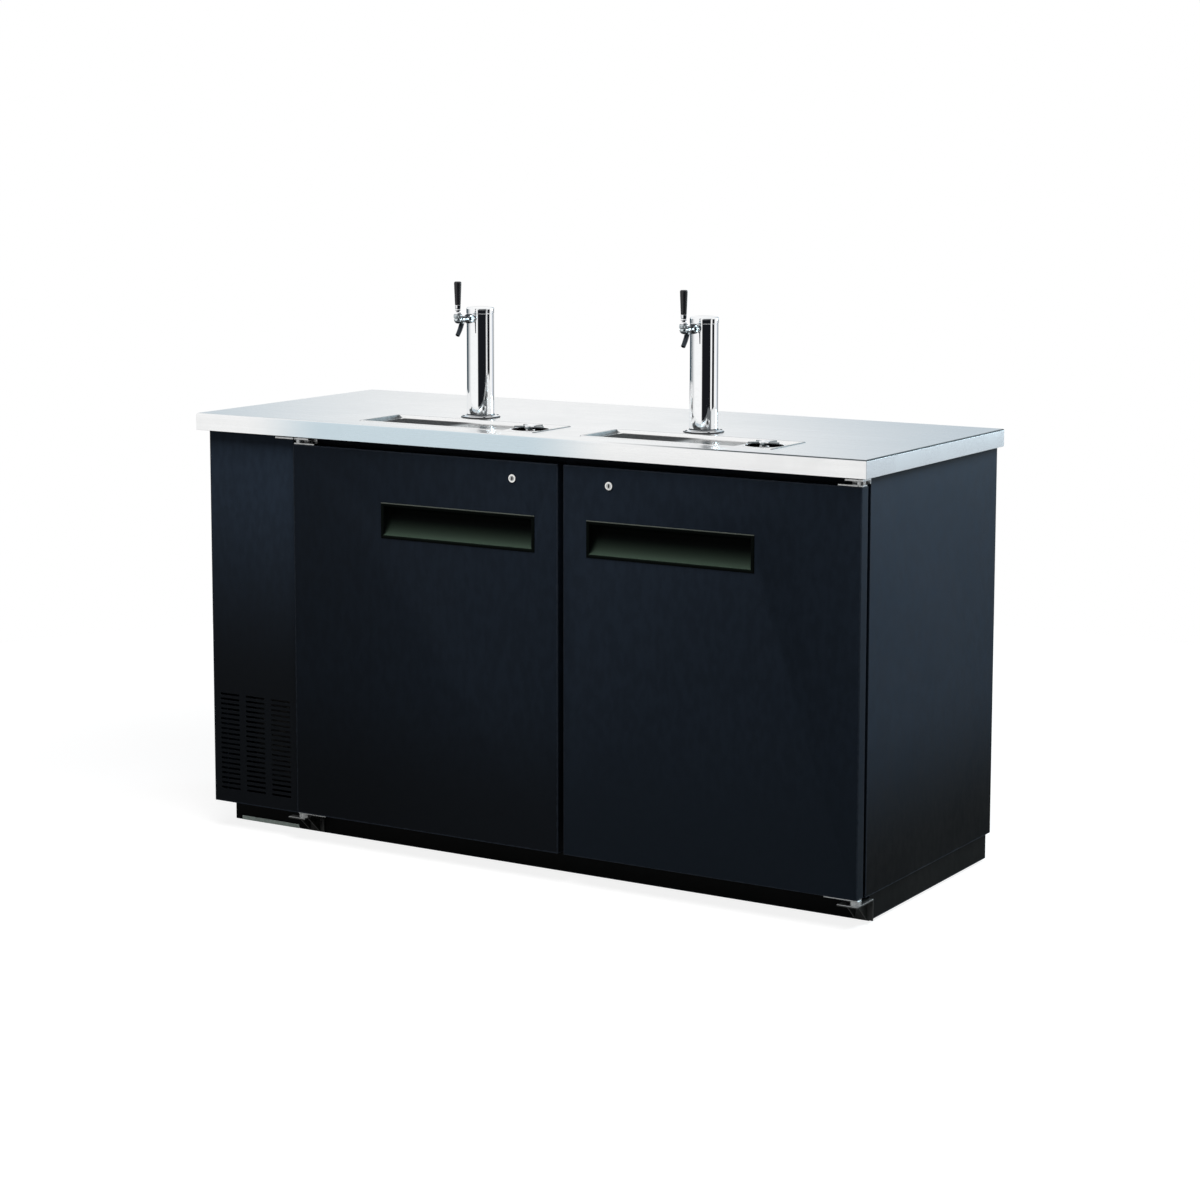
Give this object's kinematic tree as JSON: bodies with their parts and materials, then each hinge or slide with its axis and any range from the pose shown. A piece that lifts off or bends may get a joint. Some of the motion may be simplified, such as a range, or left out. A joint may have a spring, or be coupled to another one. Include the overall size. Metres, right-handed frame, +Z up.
{
  "type": "draft beer cooler",
  "caption": "Under-counter draft beer cooler with a stainless counter, chrome tap towers, drip trays, hinged insulated doors and a side machine bay.",
  "frame": {"origin": "on the floor under the middle of the counter", "axes": "+X to the right along the counter, +Y to the back, +Z up; the doors face -Y"},
  "size_m": [1.756, 0.702, 1.323],
  "materials": {
    "black_cabinet": "fine-textured black vinyl coat",
    "inner_liner": "smooth light grey liner",
    "counter_steel": "brushed along the counter",
    "tray_steel": "bright satin",
    "chrome_tap": "polished chrome",
    "hinge_steel": "zinc plated",
    "galvanised": "spangled zinc",
    "copper": "drawn copper",
    "machine_black": "satin black",
    "black_plastic": "moulded, fine grain",
    "seal_rubber": "soft matt"
  },
  "bodies": {
    "cabinet": {"base_frame": "black_cabinet", "levelling_feet": "seal_rubber", "unit_tray": "galvanised", "floor_panel": "inner_liner", "right_side_panel": "black_cabinet", "left_side_panel": "black_cabinet", "bulkhead_panel": "inner_liner", "rear_panel": "black_cabinet", "rear_vent_cover": "black_cabinet", "header_rail": "black_cabinet", "center_mullion": "black_cabinet", "ceiling_panel": "inner_liner", "counter_core": "inner_liner", "countertop": "counter_steel", "grille_panel": "black_cabinet", "compressor": "machine_black", "condenser_coil": "copper", "fan_shroud": "galvanised", "fan_motors": "galvanised", "evaporator_housing": "tray_steel", "evaporator_coil": "galvanised", "refrigerant_lines": "copper", "drip_pan_left": "tray_steel", "drip_pan_right": "tray_steel", "rinser_bodies": "chrome_tap", "tower_flanges": "chrome_tap", "tower_column_left": "chrome_tap", "tower_column_right": "chrome_tap", "tower_caps": "chrome_tap", "faucet_shanks": "chrome_tap", "faucet_body_left": "chrome_tap", "faucet_body_right": "chrome_tap", "hinge_brackets": "hinge_steel", "hinge_pins": "hinge_steel"},
    "left_door": {"door_panel_left": "black_cabinet", "door_liner_left": "inner_liner", "door_gasket_left": "seal_rubber", "handle_cup_left": "black_plastic", "lock_cylinder_left": "hinge_steel", "hinge_straps_left": "hinge_steel"},
    "left_lock": {"lock_plug_left": "hinge_steel"},
    "left_lever": {"faucet_lever_left": "chrome_tap", "tap_handle_left": "black_plastic"},
    "left_valve": {"valve_shaft_left": "hinge_steel"},
    "left_grate": {"drip_grate_left": "tray_steel"},
    "left_star": {"rinser_star_left": "black_plastic"},
    "right_door": {"door_panel_right": "black_cabinet", "door_liner_right": "inner_liner", "door_gasket_right": "seal_rubber", "handle_cup_right": "black_plastic", "lock_cylinder_right": "hinge_steel", "hinge_straps_right": "hinge_steel"},
    "right_lock": {"lock_plug_right": "hinge_steel"},
    "right_lever": {"faucet_lever_right": "chrome_tap", "tap_handle_right": "black_plastic"},
    "right_valve": {"valve_shaft_right": "hinge_steel"},
    "right_grate": {"drip_grate_right": "tray_steel"},
    "right_star": {"rinser_star_right": "black_plastic"},
    "condenser_fan": {"condenser_fan": "black_plastic"},
    "evaporator_fan": {"evaporator_fan": "black_plastic"}
  },
  "joints": [
    {"name": "left_door_hinge", "type": "hinge", "parent": "cabinet", "child": "left_door", "pos_m": [-0.594, -0.3215, 0.5], "axis": [0, 0, -1], "range_deg": [0, 110], "stiffness_Nm_per_rad": 0.8, "springref_deg": -14.32},
    {"name": "left_lock_turn", "type": "hinge", "parent": "left_door", "child": "left_lock", "pos_m": [0.004, -0.3, 0.905], "axis": [0, 1, 0], "range_deg": [0, 90]},
    {"name": "left_tap_lever", "type": "hinge", "parent": "cabinet", "child": "left_lever", "pos_m": [-0.26, -0.16, 1.248], "axis": [1, 0, 0], "range_deg": [0, 40]},
    {"name": "left_valve_slide", "type": "slide", "parent": "cabinet", "child": "left_valve", "axis": [0, 1, 0], "range_m": [0, 0.0085]},
    {"name": "left_grate_lift", "type": "slide", "parent": "cabinet", "child": "left_grate", "axis": [0, 0, 1], "range_m": [0, 0.06]},
    {"name": "left_rinser_push", "type": "slide", "parent": "cabinet", "child": "left_star", "axis": [0, 0, 1], "range_m": [-0.005, 0], "stiffness_N_per_m": 200, "springref_m": 0.003},
    {"name": "right_door_hinge", "type": "hinge", "parent": "cabinet", "child": "right_door", "pos_m": [0.852, -0.3215, 0.5], "axis": [0, 0, 1], "range_deg": [0, 110], "stiffness_Nm_per_rad": 0.8, "springref_deg": -14.32},
    {"name": "right_lock_turn", "type": "hinge", "parent": "right_door", "child": "right_lock", "pos_m": [0.254, -0.3, 0.905], "axis": [0, -1, 0], "range_deg": [0, 90]},
    {"name": "right_tap_lever", "type": "hinge", "parent": "cabinet", "child": "right_lever", "pos_m": [0.337, -0.16, 1.248], "axis": [1, 0, 0], "range_deg": [0, 40]},
    {"name": "right_valve_slide", "type": "slide", "parent": "cabinet", "child": "right_valve", "axis": [0, 1, 0], "range_m": [0, 0.0085]},
    {"name": "right_grate_lift", "type": "slide", "parent": "cabinet", "child": "right_grate", "axis": [0, 0, 1], "range_m": [0, 0.06]},
    {"name": "right_rinser_push", "type": "slide", "parent": "cabinet", "child": "right_star", "axis": [0, 0, 1], "range_m": [-0.005, 0], "stiffness_N_per_m": 200, "springref_m": 0.003},
    {"name": "condenser_fan_spin", "type": "hinge", "parent": "cabinet", "child": "condenser_fan", "pos_m": [-0.727, -0.158, 0.218], "axis": [0, 1, 0], "continuous": true},
    {"name": "evaporator_fan_spin", "type": "hinge", "parent": "cabinet", "child": "evaporator_fan", "pos_m": [-0.47, 0.042, 0.785], "axis": [1, 0, 0], "continuous": true}
  ],
  "couplings": [
    {"joint": "left_valve_slide", "follows": "left_tap_lever", "m_per_rad": 0.011969},
    {"joint": "right_valve_slide", "follows": "right_tap_lever", "m_per_rad": 0.011969}
  ]
}
